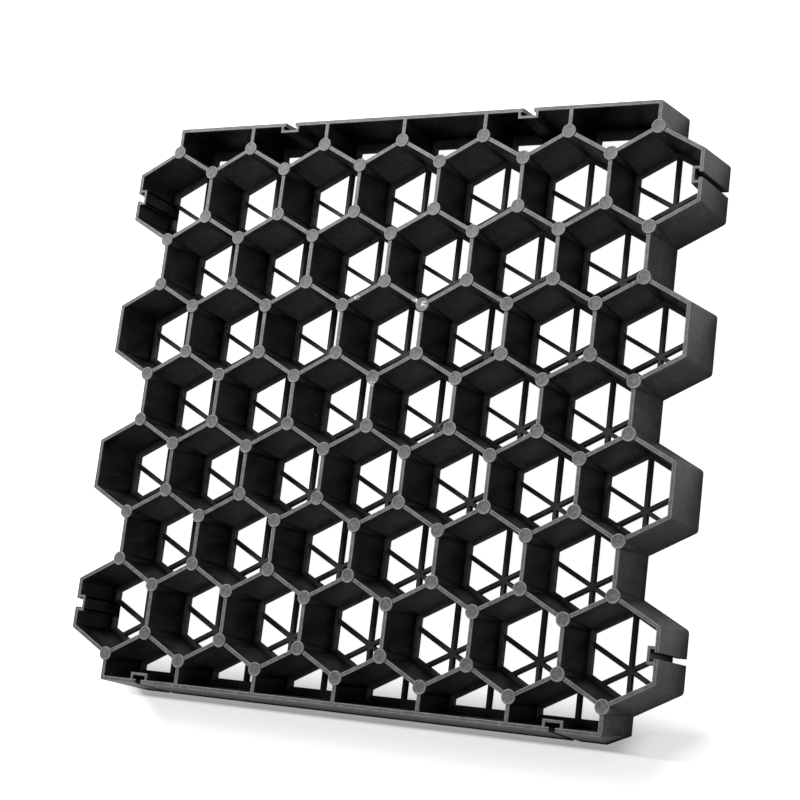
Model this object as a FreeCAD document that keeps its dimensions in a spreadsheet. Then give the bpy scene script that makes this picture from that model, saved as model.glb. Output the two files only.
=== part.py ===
import FreeCAD, Part
import math
import os

# Grass paver grid: one moulded plastic honeycomb panel, laid flat on its base.
# X runs along the rows of cells, Y across them, and Z from the base to the open top face.
# The origin is the middle of the base.

os.makedirs("parts", exist_ok=True)
doc = FreeCAD.newDocument("GrassPaverGrid")

# Driving dimensions, in millimetres, degrees or counts
SIZES = [
    ("cell_pitch", 71.4),
    ("row_pitch", 57.95),
    ("panel_height", 50.0),
    ("post_rise", 0.8),
    ("wall_thickness", 3.2),
    ("rim_draft", 4.6),
    ("draft_angle", 3.0),
    ("post_radius", 5.3),
    ("post_sides", 9),
    ("web_thickness", 5.0),
    ("web_border", 7.3),
    ("edge_band", 10.6),
    ("spoke_width", 3.3),
    ("spoke_lean", 61.6),
    ("star_shift_x", 1.5),
    ("star_shift_y", -9.6),
    ("slot_wall", 2.2),
    ("slot_channel_depth", 3.2),
    ("top_slot_width", 12.4),
    ("top_slot_mouth", 9.0),
    ("left_slot_width", 8.6),
    ("left_slot_mouth", 6.6),
    ("bottom_slot_width", 11.5),
    ("bottom_slot_mouth", 5.0),
    ("right_slot_width", 8.6),
    ("right_slot_mouth", 4.5),
    ("cells_in_wide_row", 7),
    ("wide_rows", 4),
]

sheet = doc.addObject("Spreadsheet::Sheet", "Sizes")
for line_number, (alias, value) in enumerate(SIZES, start=1):
    sheet.set(f"A{line_number}", alias)
    sheet.set(f"B{line_number}", str(value))
    sheet.setAlias(f"B{line_number}", alias)
doc.recompute()


def size(alias):
    """The value of one cell of the sheet."""
    return float(sheet.get(alias))


# Honeycomb lattice: wide rows alternate with rows of one cell less. The cells are a little
# squat: they span less across the rows than regular hexagons of this pitch would.
PITCH = size("cell_pitch")
ROW_PITCH = size("row_pitch")
SIDE = ROW_PITCH * 2 / 3
HALF_ROW = (size("cells_in_wide_row") - 1) / 2 * PITCH
LAST_WIDE_ROW = (size("wide_rows") - 1) * ROW_PITCH
HALF_DEPTH = size("wide_rows") * ROW_PITCH
HALF_WIDTH = HALF_ROW + PITCH / 2
HALF_WALL = size("wall_thickness") / 2
RIM_FLARE = (size("panel_height") - size("post_rise")) * math.tan(math.radians(size("rim_draft")))

WALL_HEIGHT = "Sizes.panel_height - Sizes.post_rise"
CELL_DEPTH = "Sizes.panel_height - Sizes.post_rise - Sizes.web_thickness"

body = doc.addObject("PartDesign::Body", "PaverGrid")
body.Label = "paver_grid"


def origin_feature(role):
    """The body's own origin plane or axis of that role."""
    for feature in body.Origin.OriginFeatures:
        if feature.Role == role:
            return feature
    raise ValueError(role)


def new_sketch(name, height="0"):
    """An empty sketch parallel to the base, at a height given as an expression."""
    sketch = body.newObject("Sketcher::SketchObject", name)
    sketch.AttachmentSupport = [(origin_feature("XY_Plane"), "")]
    sketch.MapMode = "FlatFace"
    sketch.setExpression("AttachmentOffset.Base.z", height)
    return sketch


def outline_edges(corners):
    """The straight edges of a closed outline through the corners."""
    points = [FreeCAD.Vector(x, y, 0) for x, y in corners]
    return [Part.LineSegment(points[index - 1], point) for index, point in enumerate(points)]


def inset_corners(corners, inset):
    """The corners of an anticlockwise outline moved inwards by the inset."""
    points = [FreeCAD.Vector(x, y, 0) for x, y in corners]
    moved = []
    for index, corner in enumerate(points):
        arriving = (corner - points[index - 1]).normalize()
        leaving = (points[(index + 1) % len(points)] - corner).normalize()
        inward = FreeCAD.Vector(-arriving.y - leaving.y, arriving.x + leaving.x, 0)
        inward.normalize()
        reach = inset / (-arriving.y * inward.x + arriving.x * inward.y)
        place = corner + inward * reach
        moved.append((place.x, place.y))
    return moved


def clip(corners, point, normal):
    """The part of a convex outline on the side of a line that its normal points to."""
    kept = []
    for index, corner in enumerate(corners):
        before = corners[index - 1]
        depth = (corner[0] - point[0]) * normal[0] + (corner[1] - point[1]) * normal[1]
        depth_before = (before[0] - point[0]) * normal[0] + (before[1] - point[1]) * normal[1]
        if (depth > 0) != (depth_before > 0):
            share = depth_before / (depth_before - depth)
            kept.append((before[0] + share * (corner[0] - before[0]),
                         before[1] + share * (corner[1] - before[1])))
        if depth > 0:
            kept.append(corner)
    return kept


def hexagon(centre_x, centre_y):
    """The corners of a cell between the middle lines of its walls, anticlockwise."""
    half_pitch = PITCH / 2
    half_side = SIDE / 2
    return [
        (centre_x + half_pitch, centre_y - half_side),
        (centre_x + half_pitch, centre_y + half_side),
        (centre_x, centre_y + SIDE),
        (centre_x - half_pitch, centre_y + half_side),
        (centre_x - half_pitch, centre_y - half_side),
        (centre_x, centre_y - SIDE),
    ]


def settle(feature):
    """Recompute, and stop if a feature failed."""
    doc.recompute()
    failed = {"Invalid", "Error"} & set(feature.State)
    if failed or feature.Shape.isNull():
        raise RuntimeError(f"{feature.Label} failed: {feature.State}")


def pad(name, sketch, length, taper=None):
    feature = body.newObject("PartDesign::Pad", name)
    feature.Profile = sketch
    feature.Refine = False
    feature.setExpression("Length", length)
    if taper:
        feature.setExpression("TaperAngle", taper)
    settle(feature)
    return feature


def pocket(name, sketch, length, taper=None):
    """A cut from the sketch down towards the base."""
    volume_before = body.Shape.Volume
    feature = body.newObject("PartDesign::Pocket", name)
    feature.Profile = sketch
    feature.Refine = False
    feature.setExpression("Length", length)
    if taper:
        feature.setExpression("TaperAngle", taper)
    settle(feature)
    if feature.Shape.Volume >= volume_before:
        raise RuntimeError(f"{name} cuts nothing")
    return feature


# Lattice places
def row_places(first_x, count, heights):
    """Points one pitch apart along X, at each of the heights along Y."""
    return [(first_x + column * PITCH, y) for y in heights for column in range(count)]


WIDE_COUNT = int(size("cells_in_wide_row"))
WIDE_ROW_COUNT = int(size("wide_rows"))
WIDE_ROW_YS = [-LAST_WIDE_ROW + 2 * row * ROW_PITCH for row in range(WIDE_ROW_COUNT)]
NARROW_ROW_YS = [y + ROW_PITCH for y in WIDE_ROW_YS[:-1]]
EDGE_YS = [-HALF_DEPTH, HALF_DEPTH]
NARROW_START = -HALF_ROW + PITCH / 2

wide_cells = row_places(-HALF_ROW, WIDE_COUNT, WIDE_ROW_YS)
narrow_cells = row_places(NARROW_START, WIDE_COUNT - 1, NARROW_ROW_YS)
edge_cells = row_places(NARROW_START, WIDE_COUNT - 1, EDGE_YS)


# Panel outline along the middle of the rim: straight on two edges, stepped in and out at the
# ends of the rows. The rim's outer face flares outwards from the open face to the base.
def panel_outline():
    right_side = [(HALF_ROW, -HALF_DEPTH)]
    for middle in WIDE_ROW_YS:
        right_side.append((HALF_ROW, middle - SIDE))
        right_side.append((HALF_WIDTH, middle - SIDE / 2))
        right_side.append((HALF_WIDTH, middle + SIDE / 2))
        right_side.append((HALF_ROW, middle + SIDE))
    right_side.append((HALF_ROW, HALF_DEPTH))
    left_side = [(-x, y) for x, y in reversed(right_side)]
    return right_side + left_side


outline = panel_outline()
block_sketch = new_sketch("PanelOutline")
block_sketch.addGeometry(outline_edges(inset_corners(outline, -HALF_WALL - RIM_FLARE)), False)
pad("PanelBlock", block_sketch, WALL_HEIGHT, "-Sizes.rim_draft")


# Cells: drafted hexagonal wells, halved along the two straight edges
def cell_opening(centre_x, centre_y):
    """The outline of a cell between its walls at the open face."""
    opening = inset_corners(hexagon(centre_x, centre_y), HALF_WALL)
    if abs(centre_y) == HALF_DEPTH:
        inwards = -1 if centre_y > 0 else 1
        opening = clip(opening, (centre_x, centre_y + inwards * HALF_WALL), (0, inwards))
    return opening


cells_sketch = new_sketch("CellOutlines", WALL_HEIGHT)
cell_edges = []
for cell in wide_cells + narrow_cells + edge_cells:
    cell_edges += outline_edges(cell_opening(*cell))
cells_sketch.addGeometry(cell_edges, False)
pocket("Cells", cells_sketch, CELL_DEPTH, "-Sizes.draft_angle")

# Base web: six windows in each cell leave a star of three crossed spokes, whose crossing
# is not in the middle of the cell
WEB_BORDER = size("web_border")
HALF_SPOKE = size("spoke_width") / 2
SPOKE_LEAN = size("spoke_lean")


def beside(corners, centre, turn, side):
    """The part of an outline on one side of a spoke through the centre."""
    normal_x = -side * math.sin(math.radians(turn))
    normal_y = side * math.cos(math.radians(turn))
    edge = (centre[0] + HALF_SPOKE * normal_x, centre[1] + HALF_SPOKE * normal_y)
    return clip(corners, edge, (normal_x, normal_y))


def star_windows(centre_x, centre_y):
    """Six windows between the spokes: one upright and one to each side of it."""
    star = (centre_x + size("star_shift_x"), centre_y + size("star_shift_y"))
    turns = (90 - SPOKE_LEAN, 90, 90 + SPOKE_LEAN)
    opening = inset_corners(hexagon(centre_x, centre_y), WEB_BORDER)
    edges = []
    for sides in ((1, 1, 1), (1, 1, -1), (1, -1, -1), (-1, -1, -1), (-1, -1, 1), (-1, 1, 1)):
        window = opening
        for turn, side in zip(turns, sides):
            window = beside(window, star, turn, side)
        edges += outline_edges(window)
    return edges


def half_cell_windows(centre_x, edge_y):
    """Two windows beside the one spoke of a half cell, whose middle is on the straight edge."""
    inwards = -1 if edge_y > 0 else 1
    band_edge = (centre_x, edge_y + inwards * size("edge_band"))
    opening = inset_corners(hexagon(centre_x, edge_y), WEB_BORDER)
    opening = clip(opening, band_edge, (0, inwards))
    edges = []
    for side in (-1, 1):
        edges += outline_edges(beside(opening, (centre_x, edge_y), 90, side))
    return edges


windows_sketch = new_sketch("BaseWindowOutlines", "Sizes.web_thickness")
window_edges = []
for cell in wide_cells + narrow_cells:
    window_edges += star_windows(*cell)
for cell in edge_cells:
    window_edges += half_cell_windows(*cell)
windows_sketch.addGeometry(window_edges, False)
pocket("BaseWindows", windows_sketch, "Sizes.web_thickness")

# Posts: a round column where walls meet, whose flat end stands proud of the walls
post_places = []
for y in WIDE_ROW_YS:
    for x in range(WIDE_COUNT):
        across = -HALF_ROW + x * PITCH
        post_places += [(across, y - SIDE, 90), (across, y + SIDE, -90)]
    for x in range(WIDE_COUNT - 1):
        across = NARROW_START + x * PITCH
        post_places += [(across, y - SIDE / 2, -90), (across, y + SIDE / 2, 90)]
POST_SIDES = int(size("post_sides"))


def post_edges(centre_x, centre_y, facing):
    """A many-sided outline through points on the post's circle, with a flat to each cell."""
    corners = []
    for step in range(POST_SIDES):
        angle = math.radians(facing) + 2 * math.pi * (step + 0.5) / POST_SIDES
        corners.append((centre_x + size("post_radius") * math.cos(angle),
                        centre_y + size("post_radius") * math.sin(angle)))
    return outline_edges(corners)


posts_sketch = new_sketch("PostOutlines")
round_edges = []
for x, y, facing in post_places:
    round_edges += post_edges(x, y, facing)
posts_sketch.addGeometry(round_edges, False)
pad("Posts", posts_sketch, "Sizes.panel_height")

# Interlocking slots: upright T-shaped channels let into the rim, open at both ends.
# Each place is a point on the outline and the direction inwards from it.
INNER_SLOT = HALF_ROW - 1.5 * PITCH
OUTER_SLOT = HALF_ROW - 0.5 * PITCH
SLOT_PLACES = {
    "top": [(-INNER_SLOT, HALF_DEPTH, (0, -1)), (INNER_SLOT, HALF_DEPTH, (0, -1))],
    "left": [(-HALF_WIDTH, LAST_WIDE_ROW, (1, 0)), (-HALF_WIDTH, -LAST_WIDE_ROW, (1, 0))],
    "bottom": [(-OUTER_SLOT, -HALF_DEPTH, (0, 1)), (OUTER_SLOT, -HALF_DEPTH, (0, 1))],
    "right": [(HALF_WIDTH, LAST_WIDE_ROW, (-1, 0)), (HALF_WIDTH, -LAST_WIDE_ROW, (-1, 0))],
}


def slot_edges(place, corners):
    """An outline given as along the rim and inwards from it, turned to one slot's place."""
    x, y, (inward_x, inward_y) = place
    placed = []
    for along, inward in corners:
        placed.append((x + along * inward_y + inward * inward_x,
                       y - along * inward_x + inward * inward_y))
    return outline_edges(placed)


case_edges = []
channel_edges = []
for side, places in SLOT_PLACES.items():
    half_width = size(f"{side}_slot_width") / 2
    half_mouth = size(f"{side}_slot_mouth") / 2
    back = HALF_WALL + size("slot_channel_depth")
    outside = -2 * (HALF_WALL + RIM_FLARE)
    case_half = half_width + size("slot_wall")
    case_back = back + size("slot_wall")
    case = [(-case_half, 0), (case_half, 0), (case_half, case_back), (-case_half, case_back)]
    channel = [
        (-half_mouth, outside),
        (half_mouth, outside),
        (half_mouth, HALF_WALL),
        (half_width, HALF_WALL),
        (half_width, back),
        (-half_width, back),
        (-half_width, HALF_WALL),
        (-half_mouth, HALF_WALL),
    ]
    for place in places:
        case_edges += slot_edges(place, case)
        channel_edges += slot_edges(place, channel)

case_sketch = new_sketch("SlotCaseOutlines")
case_sketch.addGeometry(case_edges, False)
pad("SlotCases", case_sketch, WALL_HEIGHT)

channel_sketch = new_sketch("SlotChannelOutlines", WALL_HEIGHT)
channel_sketch.addGeometry(channel_edges, False)
slots = pocket("SlotChannels", channel_sketch, WALL_HEIGHT)
slots.Refine = True

# Check and write the panel
doc.recompute()
for item in doc.Objects:
    if {"Invalid", "Error"} & set(item.State):
        raise RuntimeError(f"{item.Label}: {item.State}")
panel = body.Shape
if panel.isNull() or not panel.isValid() or len(panel.Solids) != 1:
    raise RuntimeError("The panel is not one valid solid")
box = panel.BoundBox
print("box", round(box.XLength, 2), round(box.YLength, 2), round(box.ZLength, 2))
print("volume cm3", round(panel.Volume / 1000, 1), "faces", len(panel.Faces))
panel.exportStep(f"parts/{body.Label}.step")
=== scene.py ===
import math

import bpy
from mathutils import Matrix, Vector


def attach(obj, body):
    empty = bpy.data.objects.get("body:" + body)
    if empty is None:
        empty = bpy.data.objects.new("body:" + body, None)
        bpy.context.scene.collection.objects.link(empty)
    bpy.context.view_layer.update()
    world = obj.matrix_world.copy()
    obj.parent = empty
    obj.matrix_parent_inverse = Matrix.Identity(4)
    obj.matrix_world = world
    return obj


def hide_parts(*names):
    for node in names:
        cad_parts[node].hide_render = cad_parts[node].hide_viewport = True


# Grass paver grid, lying flat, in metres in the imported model's frame. As the photograph shows
# it, up the panel is +Y, its right side is +X and its open face is +Z
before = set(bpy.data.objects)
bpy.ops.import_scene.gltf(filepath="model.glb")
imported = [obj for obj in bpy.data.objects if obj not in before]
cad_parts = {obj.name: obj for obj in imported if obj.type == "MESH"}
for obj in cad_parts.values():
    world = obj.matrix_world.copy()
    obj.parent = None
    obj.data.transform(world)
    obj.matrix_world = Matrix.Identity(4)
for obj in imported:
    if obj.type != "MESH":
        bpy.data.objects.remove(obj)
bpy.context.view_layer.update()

# Sizes below are in millimetres, until a mesh or a material takes them
MM = 0.001
PITCH = 71.4
ROW_PITCH = 57.95
SIDE = ROW_PITCH * 2 / 3
COLUMNS = 7
WIDE_ROWS = 4
HALF_ROW = (COLUMNS - 1) / 2 * PITCH
HALF_WIDTH = COLUMNS / 2 * PITCH
HALF_DEPTH = WIDE_ROWS * ROW_PITCH
LAST_WIDE_ROW = (WIDE_ROWS - 1) * ROW_PITCH

WALL_TOP = 49.2
POST_TOP = 50.0
POST_RADIUS = 5.6
WALL_HALF = 1.6
WALL_DRAFT = math.tan(math.radians(3.0))
WALL_FOOT = 4.0
FOOT_HALF = WALL_HALF + (WALL_TOP - WALL_FOOT) * WALL_DRAFT
RIM_FLARE = WALL_TOP * math.tan(math.radians(4.6))
WEB = 5.0
WEB_BORDER = 7.3
EDGE_BAND = 10.6
SPOKE_HALF = 1.65
SPOKE_LEAN = 61.6
STAR_X = 1.5
STAR_Y = -9.6
SLOT_WALL = 2.2
CHANNEL_DEPTH = 3.2
EDGE_ROUND = 0.35

# Slots: half widths of the channel and of the mouth
TOP_SLOT = (6.2, 4.5)
LEFT_SLOT = (4.3, 3.3)
BOTTOM_SLOT = (5.75, 2.5)
RIGHT_SLOT = (4.3, 2.25)

# A top edge is scuffed on a strip below it and fades over a band on the flat top; the strip ends
# at a height where a wall has this half width
WORN_STRIP = 0.9
WORN_BAND = 0.85
WORN_FROM = WALL_TOP - EDGE_ROUND - WORN_STRIP
NECK_HALF = WALL_HALF + 0.05

# Flat faces that would coincide lie this much apart
HAIR = 0.02


# Plane geometry
def inset_by(corners, distances):
    """Corners of an anticlockwise outline whose sides move inwards, each by its own distance.
    Side number n runs from corner n to the next."""
    moved = []
    count = len(corners)
    for index, corner in enumerate(corners):
        before = corners[index - 1]
        after = corners[(index + 1) % count]
        a = (Vector(corner) - Vector(before)).normalized()
        b = (Vector(after) - Vector(corner)).normalized()
        normal_a = Vector((-a.y, a.x))
        normal_b = Vector((-b.y, b.x))
        d_a = distances[index - 1]
        d_b = distances[index]
        turn = a.x * b.y - a.y * b.x
        if abs(turn) < 1e-6:
            place = Vector(corner) + normal_b * d_b
        else:
            along = (d_b - d_a * normal_a.dot(normal_b)) / a.dot(normal_b)
            place = Vector(corner) + normal_a * d_a + a * along
        moved.append((place.x, place.y))
    return moved


def hexagon(x, y):
    """The corners of a cell between the middle lines of its walls."""
    half = PITCH / 2
    return [
        (x + half, y - SIDE / 2),
        (x + half, y + SIDE / 2),
        (x, y + SIDE),
        (x - half, y + SIDE / 2),
        (x - half, y - SIDE / 2),
        (x, y - SIDE),
    ]


def half_hexagon(x, edge_y):
    """The corners of a half cell, whose first side is straight and lies on the panel's edge."""
    half = PITCH / 2
    if edge_y > 0:
        return [
            (x + half, edge_y),
            (x - half, edge_y),
            (x - half, edge_y - SIDE / 2),
            (x, edge_y - SIDE),
            (x + half, edge_y - SIDE / 2),
        ]
    return [
        (x - half, edge_y),
        (x + half, edge_y),
        (x + half, edge_y + SIDE / 2),
        (x, edge_y + SIDE),
        (x - half, edge_y + SIDE / 2),
    ]


# Lattice
wide_ys = [-LAST_WIDE_ROW + 2 * row * ROW_PITCH for row in range(WIDE_ROWS)]
narrow_ys = [y + ROW_PITCH for y in wide_ys[:-1]]
wide_xs = [-HALF_ROW + n * PITCH for n in range(COLUMNS)]
narrow_xs = [-HALF_ROW + (n + 0.5) * PITCH for n in range(COLUMNS - 1)]
full_cells = [(x, y) for y in wide_ys for x in wide_xs]
full_cells += [(x, y) for y in narrow_ys for x in narrow_xs]
half_cells = [(x, y) for y in (-HALF_DEPTH, HALF_DEPTH) for x in narrow_xs]
posts = []
for y in wide_ys:
    for x in wide_xs:
        posts += [(x, y - SIDE), (x, y + SIDE)]
    for x in narrow_xs:
        posts += [(x, y - SIDE / 2), (x, y + SIDE / 2)]

# Slots: a point on the outline, the direction inwards and the half widths
INNER = HALF_ROW - 1.5 * PITCH
OUTER = HALF_ROW - 0.5 * PITCH
SLOTS = [
    (-INNER, HALF_DEPTH, (0, -1), TOP_SLOT),
    (INNER, HALF_DEPTH, (0, -1), TOP_SLOT),
    (-HALF_WIDTH, LAST_WIDE_ROW, (1, 0), LEFT_SLOT),
    (-HALF_WIDTH, -LAST_WIDE_ROW, (1, 0), LEFT_SLOT),
    (-OUTER, -HALF_DEPTH, (0, 1), BOTTOM_SLOT),
    (OUTER, -HALF_DEPTH, (0, 1), BOTTOM_SLOT),
    (HALF_WIDTH, LAST_WIDE_ROW, (-1, 0), RIGHT_SLOT),
    (HALF_WIDTH, -LAST_WIDE_ROW, (-1, 0), RIGHT_SLOT),
]

# Wear of a prism: at its base, at both ends of the scuffed strip, on the edge and on the top,
# which starts this many times the rounding from the side
PRISM_WEAR = [0.0, 0.02, 0.4, 1.0, 0.15]
PRISM_TOP = 2.4


class Shell:
    """Collects closed forms in one mesh, with how scuffed each point is and how much light is painted on
    it.
    """

    def __init__(self):
        self.points = []
        self.faces = []
        self.wear_and_painted_light = []

    def skin(self, loops, wear_and_painted_light):
        """A closed skin over loops of equal length; the wear and painted light have one value for each
        point.
        """
        count = len(loops[0])
        base = len(self.points)
        last = base + (len(loops) - 1) * count
        for loop in loops:
            self.points += [(x * MM, y * MM, z * MM) for x, y, z in loop]
        self.wear_and_painted_light += wear_and_painted_light
        for low in range(base, last, count):
            high = low + count
            for index in range(count):
                after = (index + 1) % count
                self.faces.append((low + index, low + after, high + after, high + index))
        self.faces.append(tuple(range(base + count - 1, base - 1, -1)))
        self.faces.append(tuple(range(last, last + count)))

    def sweep(self, sections, wear_and_painted_light):
        """A bar through equal sections; the wear and painted light have one value for each point of a
        section.
        """
        self.skin(sections, wear_and_painted_light * len(sections))

    def stack(self, rings, wear_and_painted_light):
        """An upright form over rings; the wear and painted light have one value for each ring."""
        self.skin(rings, [level for level in wear_and_painted_light for _ in rings[0]])

    def prism(self, corners, top, roundness=EDGE_ROUND, wear_and_light_level=0.9):
        """A prism on a convex outline, with its top edges eased."""
        eased = inset_by(corners, [roundness] * len(corners))
        inner = inset_by(corners, [roundness * PRISM_TOP] * len(corners))
        levels = [(corners, 0.0), (corners, top - roundness - WORN_STRIP), (corners, top - roundness),
                  (eased, top), (inner, top)]
        rings = [[(x, y, z) for x, y in outline] for outline, z in levels]
        self.stack(rings, [wear_and_light_level * level for level in PRISM_WEAR])

    def build(self, name):
        mesh = bpy.data.meshes.new(name)
        mesh.from_pydata(self.points, [], self.faces)
        # Each point's wear, which also holds painted light
        layer = mesh.attributes.new("wear_and_painted_light", "FLOAT", "POINT")
        layer.data.foreach_set("value", self.wear_and_painted_light)
        mesh.validate()
        mesh.update()
        thing = bpy.data.objects.new(name, mesh)
        bpy.context.scene.collection.objects.link(thing)
        return thing


# Walls between cells, a hair lower than the rim. They stop short of the outer edge
WALL_SECTION = [
    (-FOOT_HALF, WALL_FOOT),
    (FOOT_HALF, WALL_FOOT),
    (NECK_HALF, WORN_FROM),
    (WALL_HALF, WALL_TOP - EDGE_ROUND),
    (WALL_HALF - EDGE_ROUND, WALL_TOP - HAIR),
    (WALL_HALF - WORN_BAND, WALL_TOP - HAIR),
    (-WALL_HALF + WORN_BAND, WALL_TOP - HAIR),
    (-WALL_HALF + EDGE_ROUND, WALL_TOP - HAIR),
    (-WALL_HALF, WALL_TOP - EDGE_ROUND),
    (-NECK_HALF, WORN_FROM),
]
WALL_LIMIT = HALF_DEPTH - 0.5

# Wear of the section's points after its two feet; a foot that faces down the panel is made paler as painted
# light
WALL_WEAR = [0.02, 0.4, 1.0, 0.1, 0.1, 1.0, 0.4, 0.02]
FOOT_PAINTED_LIGHT = 0.65

walls = Shell()
sides = {}
for corners in [hexagon(x, y) for x, y in full_cells] + [half_hexagon(x, y) for x, y in half_cells]:
    for index, start in enumerate(corners):
        end = corners[(index + 1) % len(corners)]
        key = tuple(sorted([(round(start[0], 1) + 0.0, round(start[1], 1) + 0.0),
                            (round(end[0], 1) + 0.0, round(end[1], 1) + 0.0)]))
        sides[key] = sides.get(key, 0) + 1
for (start, end), uses in sorted(sides.items()):
    if uses < 2:
        continue
    along = (Vector(end) - Vector(start)).normalized()
    across = (along.y, -along.x)
    sections = []
    for x, y in (start, end):
        y = max(-WALL_LIMIT, min(WALL_LIMIT, y))
        sections.append([(x + across[0] * u, y + across[1] * u, z) for u, z in WALL_SECTION])
    # Painted light: the foot that faces down the panel gets a paler grey
    painted_foot_light = [FOOT_PAINTED_LIGHT * max(0.0, across[1]), FOOT_PAINTED_LIGHT * max(0.0, -across[1])]
    walls.sweep(sections, painted_foot_light + WALL_WEAR)


# Rim, in pieces between the slots' mouths. At its base the two lower corners are cut: for the
# first and the last corner, how far before and beyond it
LAST_CORNER = 2 * (4 * WIDE_ROWS + 2) - 1
LOWER_CORNERS = {0: (18.0, 8.0), LAST_CORNER: (8.0, 18.0)}
ARC_STEPS = 5


def rim_ring(inset, radius, cut=False):
    """The panel's outline moved inwards, as pairs of a point and whether it starts an arc.
    Its outward corners are rounded."""
    right = [(HALF_ROW, -HALF_DEPTH)]
    for y in wide_ys:
        right += [(HALF_ROW, y - SIDE), (HALF_WIDTH, y - SIDE / 2),
                  (HALF_WIDTH, y + SIDE / 2), (HALF_ROW, y + SIDE)]
    right.append((HALF_ROW, HALF_DEPTH))
    corners = right + [(-x, y) for x, y in reversed(right)]
    corners = inset_by(corners, [inset] * len(corners))
    ring = []
    for index, corner in enumerate(corners):
        corner = Vector(corner)
        arriving = (corner - Vector(corners[index - 1])).normalized()
        leaving = (Vector(corners[(index + 1) % len(corners)]) - corner).normalized()
        turn = math.atan2(arriving.x * leaving.y - arriving.y * leaving.x, arriving.dot(leaving))
        if turn < 0.1:
            ring.append((corner, False))
            continue
        reach = radius * math.tan(turn / 2)
        centre = corner - arriving * reach + Vector((-arriving.y, arriving.x)) * radius
        first = math.atan2(-arriving.x, arriving.y)
        for step in range(ARC_STEPS + 1):
            if cut and index in LOWER_CORNERS:
                before, beyond = LOWER_CORNERS[index]
                place = (corner - arriving * before).lerp(corner + leaving * beyond, step / ARC_STEPS)
            else:
                angle = first + turn * step / ARC_STEPS
                place = centre + Vector((math.cos(angle), math.sin(angle))) * radius
            ring.append((place, step < ARC_STEPS))
    return ring


# Each level is an inset from the middle of the rim, a height, a corner radius and the wear
RIM_PROFILE = [
    (-WALL_HALF - RIM_FLARE, 0.0, 3.5, 0.12),
    (-WALL_HALF - 0.08, WORN_FROM, 1.65, 0.10),
    (-WALL_HALF, WALL_TOP - EDGE_ROUND, 1.6, 0.4),
    (-WALL_HALF + EDGE_ROUND, WALL_TOP, 1.3, 1.0),
    (-WALL_HALF + WORN_BAND, WALL_TOP, 1.1, 0.1),
    (WALL_HALF - WORN_BAND, WALL_TOP, 0.6, 0.1),
    (WALL_HALF - EDGE_ROUND, WALL_TOP, 0.5, 1.0),
    (WALL_HALF, WALL_TOP - EDGE_ROUND, 0.5, 0.4),
    (NECK_HALF, WORN_FROM, 0.5, 0.02),
    (FOOT_HALF, WALL_FOOT, 0.5, 0.0),
    (FOOT_HALF, 0.0, 0.5, 0.0),
]

# Beside a slot's mouth the inner face is upright
PLAIN_PROFILE = RIM_PROFILE[:8] + [
    (WALL_HALF, WORN_FROM, 0.5, 0.02),
    (WALL_HALF, WALL_FOOT, 0.5, 0.0),
    (WALL_HALF, 0.0, 0.5, 0.0),
]

# A slot belongs to a straight side that it is this close to, this far from the side's ends
NEAR_SIDE = 0.5
FROM_CORNER = 5.0

rim = Shell()
rings = [rim_ring(inset, radius, z == 0.0 and inset < 0) for inset, z, radius, _ in RIM_PROFILE]
middle_ring = rim_ring(0.0, 1.0)


def rim_row(profile, place, inward):
    """The points of a profile, one for each level, at a place on the rim's middle line."""
    return [place + inward * level[0] for level in profile]


def rim_piece(profile, first, last):
    """One length of rim between two rows of points."""
    sections = []
    for row in (first, last):
        sections.append([(point[0], point[1], level[1]) for point, level in zip(row, profile)])
    rim.sweep(sections, [level[3] for level in profile])


for index, (start, curved) in enumerate(middle_ring):
    after = (index + 1) % len(middle_ring)
    end = middle_ring[after][0]
    first = [ring[index][0] for ring in rings]
    last = [ring[after][0] for ring in rings]
    along = (end - start).normalized()
    inward = Vector((-along.y, along.x))
    mouths = []
    for x, y, _, (half_width, half_mouth) in SLOTS:
        offset = Vector((x, y)) - start
        distance = offset.dot(along)
        on_line = not curved and abs(offset.dot(inward)) < NEAR_SIDE
        if on_line and FROM_CORNER < distance < (end - start).length - FROM_CORNER:
            mouths.append((distance, Vector((x, y)), half_width + SLOT_WALL, half_mouth))
    for _, middle, case, half_mouth in sorted(mouths, key=lambda mouth: mouth[0]):
        marks = [middle + along * distance for distance in (-case, -half_mouth, half_mouth, case)]
        plain = [rim_row(PLAIN_PROFILE, mark, inward) for mark in marks]
        rim_piece(RIM_PROFILE, first, rim_row(RIM_PROFILE, marks[0], inward))
        rim_piece(PLAIN_PROFILE, plain[0], plain[1])
        rim_piece(PLAIN_PROFILE, plain[2], plain[3])
        first = rim_row(RIM_PROFILE, marks[3], inward)
    rim_piece(RIM_PROFILE, first, last)


# Slot cases behind the mouths: two sides, a rear wall and a plate that carries them on the web
CASE_FRONT = WALL_HALF - 0.5
CASE_BACK = WALL_HALF + CHANNEL_DEPTH
CASE_REAR = CASE_BACK + SLOT_WALL
REAR_WALL_SHORTER = 0.6
PLATE_UNDER_REAR = 0.4
PLATE_TOP = WEB - 0.03
PLATE_ROUND = 0.1


def case_outline(slot, left, right, front, rear):
    """A rectangle measured along a slot's side and inwards from it, in the panel's plane."""
    x, y, (inward_x, inward_y), _ = slot
    corners = []
    for u, v in ((left, front), (right, front), (right, rear), (left, rear)):
        corners.append((x + u * inward_y + v * inward_x, y - u * inward_x + v * inward_y))
    return corners


for slot in SLOTS:
    half_width = slot[3][0]
    case = half_width + SLOT_WALL
    rear_wall = case - REAR_WALL_SHORTER
    border = EDGE_BAND if slot[2][1] else WEB_BORDER
    rim.prism(case_outline(slot, -case, -half_width, CASE_FRONT, CASE_REAR), WALL_TOP - HAIR)
    rim.prism(case_outline(slot, half_width, case, CASE_FRONT, CASE_REAR), WALL_TOP - HAIR)
    rim.prism(case_outline(slot, -rear_wall, rear_wall, CASE_BACK, CASE_REAR), WALL_TOP - 2 * HAIR)
    plate = case_outline(slot, -case, case, CASE_REAR - PLATE_UNDER_REAR, border)
    rim.prism(plate, PLATE_TOP, PLATE_ROUND, 0.0)

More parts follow.
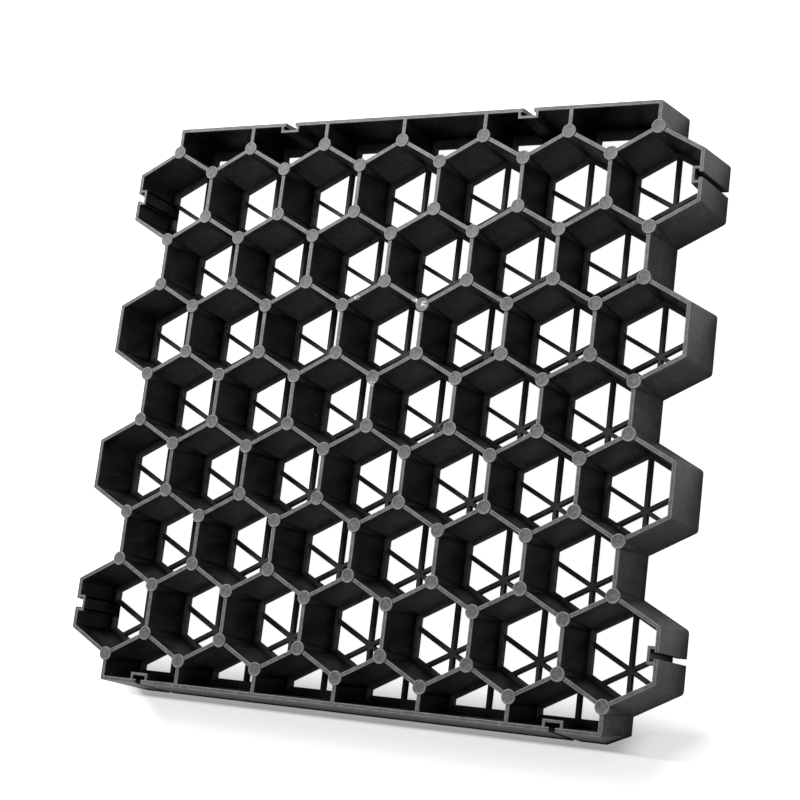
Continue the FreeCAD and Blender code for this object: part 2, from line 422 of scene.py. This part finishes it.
# Posts: full-height columns whose ends have a raised, scuffed ring and a shallow middle. Each
# level is a radius, a height and the wear
POST_PROFILE = [
    (POST_RADIUS, 0.0, 0.0),
    (POST_RADIUS, 48.4, 0.02),
    (POST_RADIUS, 49.5, 0.35),
    (POST_RADIUS - 0.1, 49.78, 0.7),
    (POST_RADIUS - 0.35, POST_TOP - 0.03, 1.0),
    (POST_RADIUS - 0.55, POST_TOP, 0.8),
    (POST_RADIUS - 0.95, POST_TOP - 0.02, 0.55),
    (POST_RADIUS - 1.25, POST_TOP - 0.14, 0.12),
    (POST_RADIUS - 1.9, POST_TOP - 0.18, 0.14),
    (1.2, POST_TOP - 0.2, 0.14),
]
POST_STEPS = 44
turns = [2 * math.pi * step / POST_STEPS for step in range(POST_STEPS)]
columns = Shell()
for x, y in posts:
    rings = []
    for radius, z, _ in POST_PROFILE:
        rings.append([(x + radius * math.cos(turn), y + radius * math.sin(turn), z) for turn in turns])
    columns.stack(rings, [level[2] for level in POST_PROFILE])

# Base web: a border round each cell's opening, and a star of spokes across it. The border's
# edge has painted light: pale on the left side of an opening, and less so on the side up the panel
UPPER_EDGE_PAINTED_LIGHT = 0.45
SPOKE_WEAR = [0.0, 0.0, 0.1, 0.15, 0.15, 0.1]
SPOKE_OVERLAP = 2.0
SPOKE_DROPS = (0.02, 0.05, 0.08)
web = Shell()


def slotted_side(corners):
    """Which side of a cell has a slot at its middle, and the half width of the slot's channel."""
    for index, corner in enumerate(corners):
        middle = Vector(corner).lerp(Vector(corners[(index + 1) % len(corners)]), 0.5)
        for x, y, _, (half_width, _) in SLOTS:
            if (middle - Vector((x, y))).length < 1.0:
                return index, half_width
    return None, None


def web_border(corners, distances):
    """The flat border between a cell's middle lines and its opening, left out at a slot."""
    opening = inset_by(corners, distances)
    eased = inset_by(corners, [distance - EDGE_ROUND for distance in distances])
    levels = ((corners, 0.0), (corners, WEB), (eased, WEB), (opening, WEB - EDGE_ROUND), (opening, 0.0))
    slotted, half_width = slotted_side(corners)
    for index, corner in enumerate(corners):
        after = (index + 1) % len(corners)
        start = Vector(corner)
        end = Vector(corners[after])
        along = (end - start).normalized()
        spans = [(0.0, 1.0)]
        if index == slotted:
            gap = half_width / (end - start).length
            spans = [(0.0, 0.5 - gap), (0.5 + gap, 1.0)]
        for span in spans:
            sections = []
            for share in span:
                mark = start.lerp(end, share)
                section = []
                for ring, z in levels:
                    place = Vector(ring[index]).lerp(Vector(ring[after]), share)
                    if 0.0 < share < 1.0:
                        offset = place - mark
                        place = mark + offset - along * offset.dot(along)
                    section.append((place.x, place.y, z))
                sections.append(section)
            # Painted light: the opening's edge is paler on its left side, and less so on its upper side
            painted_side_light = max(0.0, -along.y) ** 2 + UPPER_EDGE_PAINTED_LIGHT * max(0.0, -along.x)
            web.sweep(sections, [0.0, 0.0, 0.1 + 0.4 * painted_side_light, 0.1 + 0.9 * painted_side_light, painted_side_light])
    return opening


def spoke(opening, centre, angle, drop):
    """A bar through the centre, from one side of the opening to the other."""
    direction = Vector((math.cos(math.radians(angle)), math.sin(math.radians(angle))))
    reaches = []
    for index, start in enumerate(opening):
        side = Vector(opening[(index + 1) % len(opening)]) - Vector(start)
        offset = Vector(start) - Vector(centre)
        turn = direction.x * side.y - direction.y * side.x
        if abs(turn) < 1e-6:
            continue
        along = (offset.x * direction.y - offset.y * direction.x) / turn
        if -1e-6 <= along <= 1 + 1e-6:
            reaches.append((offset.x * side.y - offset.y * side.x) / turn)
    section = ((-SPOKE_HALF, 0.0), (SPOKE_HALF, 0.0), (SPOKE_HALF, WEB - EDGE_ROUND),
               (SPOKE_HALF - EDGE_ROUND, WEB - drop), (-SPOKE_HALF + EDGE_ROUND, WEB - drop),
               (-SPOKE_HALF, WEB - EDGE_ROUND))
    sections = []
    for reach in (min(reaches) - SPOKE_OVERLAP, max(reaches) + SPOKE_OVERLAP):
        points = []
        for u, z in section:
            place = Vector(centre) + direction * reach + Vector((direction.y, -direction.x)) * u
            points.append((place.x, place.y, z))
        sections.append(points)
    web.sweep(sections, SPOKE_WEAR)


for x, y in full_cells:
    opening = web_border(hexagon(x, y), [WEB_BORDER] * 6)
    for angle, drop in zip((90.0 - SPOKE_LEAN, 90.0, 90.0 + SPOKE_LEAN), SPOKE_DROPS):
        spoke(opening, (x + STAR_X, y + STAR_Y), angle, drop)
for x, y in half_cells:
    opening = web_border(half_hexagon(x, y), [EDGE_BAND] + [WEB_BORDER] * 4)
    inwards = -1 if y > 0 else 1
    spoke(opening, (x, y + inwards * SIDE / 2), 90.0, SPOKE_DROPS[0])


class Look:
    """A material or a world, whose nodes are added by short calls."""

    def __init__(self, block):
        block.use_nodes = True
        self.block = block
        self.tree = block.node_tree
        self.where = self.add("ShaderNodeTexCoord").outputs["Object"]
        self.place = self.add("ShaderNodeSeparateXYZ", {0: self.where}).outputs

    def add(self, kind, sockets=None):
        """A node with its sockets set to values or linked to other nodes' outputs."""
        node = self.tree.nodes.new(kind)
        self.fill(node, sockets or {})
        return node

    def fill(self, node, sockets):
        for name, value in sockets.items():
            if isinstance(value, bpy.types.NodeSocket):
                self.tree.links.new(value, node.inputs[name])
            else:
                node.inputs[name].default_value = value

    def ramp(self, source, low, high, to_low=0.0, to_high=1.0, smooth=False):
        node = self.add("ShaderNodeMapRange", {"Value": source})
        node.interpolation_type = "SMOOTHSTEP" if smooth else "LINEAR"
        self.fill(node, {"From Min": low, "From Max": high, "To Min": to_low, "To Max": to_high})
        return node.outputs["Result"]

    def noise(self, scale, detail=4.0, stretch=None):
        source = self.where
        if stretch:
            source = self.add("ShaderNodeMapping", {"Vector": source, "Scale": stretch}).outputs["Vector"]
        node = self.add("ShaderNodeTexNoise", {"Vector": source, "Scale": scale, "Detail": detail})
        return node.outputs["Fac"]

    def combine(self, operation, a, b=0.0):
        node = self.add("ShaderNodeMath", {0: a, 1: b})
        node.operation = operation
        node.use_clamp = True
        return node.outputs[0]

    def blend(self, factor, a, b):
        node = self.tree.nodes.new("ShaderNodeMix")
        node.data_type = "RGBA"
        self.fill(node, {"Factor": factor, 6: a, 7: b})
        return node.outputs[2]


# Tones of the plastic, as linear colours
DEEP_BLACK = (0.002, 0.002, 0.0024, 1.0)
CLOUDED = (0.030, 0.030, 0.033, 1.0)
STREAKED = (0.036, 0.036, 0.039, 1.0)
DARK_MOTTLE = (0.036, 0.036, 0.038, 1.0)
# The pale mottle of flat tops is partly painted sheen
PALE_MOTTLE_AND_SHEEN = (0.104, 0.104, 0.107, 1.0)
# Grey of worn edges, also used for painted light on the web's openings and the walls' feet
WORN_EDGE_AND_PAINTED_LIGHT = (0.235, 0.236, 0.243, 1.0)
DUST_SPECK = (0.45, 0.45, 0.44, 1.0)
SCUFF = (0.72, 0.72, 0.70, 1.0)

# Where a ramp starts and where it is full, in metres: mottled flat tops with painted sheen, the lower side,
# and the part of it near its base, where shade is painted
FLAT_TOPS = (0.0485, 0.0491)
LOWER_SIDE = (-0.222, -0.230)
NEAR_BASE = (0.044, 0.010)
STREAK_STRETCH = (210.0, 210.0, 26.0)

# Pale scuffs on a few posts: a place and how far the scuff reaches
SCUFFS = [
    (37.0, 77.4, 50.0, 3.4),
    (28.8, 80.8, 50.0, 3.6),
    (8.4, 74.9, 50.0, 2.6),
    (-22.8, 82.2, 50.0, 3.8),
    (0.9, 14.1, 50.0, 2.6),
]


def black_plastic():
    """Moulded black plastic: mottled and paler with painted sheen on flat tops, greyer where it is worn and
    where light is painted, with painted shade at the base of the lower side, and dust specks.
    """
    look = Look(bpy.data.materials.new("black_plastic"))
    place = look.place
    wear_and_light_level = look.add("ShaderNodeAttribute")
    wear_and_light_level.attribute_name = "wear_and_painted_light"
    normal = look.add("ShaderNodeNewGeometry").outputs["True Normal"]
    upward = look.add("ShaderNodeSeparateXYZ", {0: normal}).outputs["Z"]
    # Flat tops facing up: mottled, and made paler as painted sheen
    top = look.combine("MULTIPLY", look.ramp(place["Z"], *FLAT_TOPS), look.ramp(upward, 0.5, 0.9))
    streaks = look.noise(1.0, 5.0, STREAK_STRETCH)
    clouds = look.noise(38.0, 5.0)
    grit = look.noise(900.0, 3.0)

    colour = look.blend(look.ramp(clouds, 0.40, 0.68), DEEP_BLACK, CLOUDED)
    colour = look.blend(look.ramp(streaks, 0.56, 0.78), colour, STREAKED)
    mottle_and_painted_sheen = look.blend(look.ramp(look.noise(380.0, 5.0), 0.36, 0.66), DARK_MOTTLE, PALE_MOTTLE_AND_SHEEN)
    colour = look.blend(top, colour, mottle_and_painted_sheen)

    # Painted shade: the lower side turns black towards its base, where its pale edges and its shine are
    # taken away
    painted_base_shade = look.combine("MULTIPLY", look.ramp(place["Y"], *LOWER_SIDE), look.ramp(place["Z"], *NEAR_BASE))
    outside_painted_shade = look.combine("SUBTRACT", 1.0, painted_base_shade)
    uneven = look.ramp(look.noise(150.0, 4.0), 0.25, 0.6, 0.45, 1.0)
    # Worn edges and painted light blend towards a paler grey
    wear_and_light_mask = look.combine("MULTIPLY", look.combine("MULTIPLY", wear_and_light_level.outputs["Fac"], uneven), outside_painted_shade)
    colour = look.blend(wear_and_light_mask, colour, WORN_EDGE_AND_PAINTED_LIGHT)

    specks = look.add("ShaderNodeTexVoronoi", {"Vector": look.where, "Scale": 170.0})
    dots = look.combine("MULTIPLY", look.ramp(specks.outputs["Distance"], 0.13, 0.09),
                        look.ramp(clouds, 0.58, 0.62))
    colour = look.blend(look.combine("MULTIPLY", dots, 0.5), colour, DUST_SPECK)

    blotches = look.ramp(look.noise(520.0, 3.0), 0.44, 0.56)
    for x, y, z, reach in SCUFFS:
        away = look.add("ShaderNodeVectorMath", {0: look.where, 1: (x * MM, y * MM, z * MM)})
        away.operation = "DISTANCE"
        near = look.ramp(away.outputs["Value"], reach * MM, reach * MM * 0.4)
        colour = look.blend(look.combine("MULTIPLY", near, blotches), colour, SCUFF)

    # Shine is lower near the base, and is taken away where shade is painted on the lower side
    shine = look.combine("MULTIPLY", look.ramp(place["Z"], 0.004, 0.030, 0.08, 0.35), outside_painted_shade)
    rough = look.combine("ADD", look.ramp(clouds, 0.3, 0.7, 0.34, 0.46),
                         look.combine("MULTIPLY", top, 0.06))
    swell = look.add("ShaderNodeBump", {"Strength": 0.5, "Distance": 0.0012,
                                        "Height": look.noise(62.0, 2.0)})
    grain = look.combine("ADD", look.combine("MULTIPLY", grit, 0.5), look.combine("MULTIPLY", streaks, 0.5))
    bump = look.add("ShaderNodeBump", {"Strength": 0.25, "Distance": 0.0002, "Height": grain,
                                       "Normal": swell.outputs["Normal"]})
    look.fill(look.tree.nodes["Principled BSDF"], {
        "Base Color": colour,
        "Specular IOR Level": shine,
        "Roughness": rough,
        "Normal": bump.outputs["Normal"],
    })
    return look.block


plastic = black_plastic()
pieces = [walls.build("paver_walls"), rim.build("paver_rim"), columns.build("paver_posts"),
          web.build("paver_base_web")]
for piece in pieces:
    piece.data.materials.append(plastic)
    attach(piece, "root")
    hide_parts("paver_grid")

# The round sides and rings of the posts are shaded smoothly, their flat ends aren't
for polygon in bpy.data.objects["paver_posts"].data.polygons:
    polygon.use_smooth = len(polygon.vertices) == 4

# Floor: a large pale sheet that glows to the camera, less so round the panel's lower edge, where
# it keeps the shadow. It lies a little lower than the panel's base
FLOOR_SIZE = 12.0
FLOOR_HEIGHT = -0.0004


def floor_material():
    look = Look(bpy.data.materials.new("pale_floor"))
    sideways = look.combine("ABSOLUTE", look.place["X"])
    behind = look.ramp(look.place["Y"], -0.246, -0.200, 0.05, 0.90, smooth=True)
    in_front = look.ramp(look.place["Y"], -0.2402, -0.2440, 0.0, 0.54, smooth=True)
    beside = look.ramp(sideways, 0.198, 0.236, 0.05, 0.42, smooth=True)
    glow = look.combine("MAXIMUM", look.combine("MAXIMUM", behind, in_front), beside)
    seen = look.add("ShaderNodeLightPath").outputs["Is Camera Ray"]
    look.fill(look.tree.nodes["Principled BSDF"], {
        "Base Color": (0.88, 0.88, 0.88, 1.0),
        "Roughness": 0.9,
        "Specular IOR Level": 0.1,
        "Emission Color": (1.0, 1.0, 1.0, 1.0),
        "Emission Strength": look.combine("MULTIPLY", seen, glow),
    })
    return look.block


bpy.ops.mesh.primitive_plane_add(size=FLOOR_SIZE, location=(0.0, 0.0, FLOOR_HEIGHT))
floor = bpy.context.object
floor.name = "floor"
floor.data.materials.append(floor_material())

# World: white to the camera, soft studio light otherwise
STUDIO_LIGHT = 0.47
studio = Look(bpy.data.worlds.new("studio"))
bpy.context.scene.world = studio.block
seen = studio.add("ShaderNodeLightPath").outputs["Is Camera Ray"]
studio.fill(studio.tree.nodes["Background"], {
    "Color": (1.0, 1.0, 1.0, 1.0),
    "Strength": studio.ramp(seen, 0.0, 1.0, STUDIO_LIGHT, 1.0),
})

# One large soft light, above and behind the panel's upper side
LIGHT_PLACE = Vector((-0.68, 0.85, 1.25))
LIGHT_AIM = Vector((0.0, 0.0, 0.05))
light_data = bpy.data.lights.new("key", "AREA")
light_data.shape = "RECTANGLE"
light_data.size = 1.2
light_data.size_y = 0.8
light_data.energy = 34.0
light = bpy.data.objects.new("key", light_data)
light.location = LIGHT_PLACE
light.rotation_euler = (LIGHT_AIM - LIGHT_PLACE).to_track_quat("-Z", "Y").to_euler()
bpy.context.scene.collection.objects.link(light)

# Camera: its place and turn were fitted to the lattice of wall junctions in the photograph
PHOTO_PIXELS = 800
FOCAL_PIXELS = 1773.404
SENSOR = 36.0
TURN = Vector((2.845, 0.1065, -0.709))
OFFSET = Vector((-0.3329, 0.0144, 19.1619)) * PITCH * MM
to_view = Matrix.Rotation(TURN.length, 3, TURN.normalized())
eye = -(to_view.transposed() @ OFFSET) + Vector((0.0, 0.0, POST_TOP * MM))
axes = Matrix((to_view[0], -to_view[1], -to_view[2])).transposed()
camera_data = bpy.data.cameras.new("camera")
camera_data.sensor_width = SENSOR
camera_data.lens = FOCAL_PIXELS / PHOTO_PIXELS * SENSOR
camera_data.clip_start = 0.05
camera_data.clip_end = 50.0
camera = bpy.data.objects.new("camera", camera_data)
camera.matrix_world = Matrix.Translation(eye) @ axes.to_4x4()
bpy.context.scene.collection.objects.link(camera)
bpy.context.scene.camera = camera

view = bpy.context.scene.view_settings
view.view_transform = "Standard"
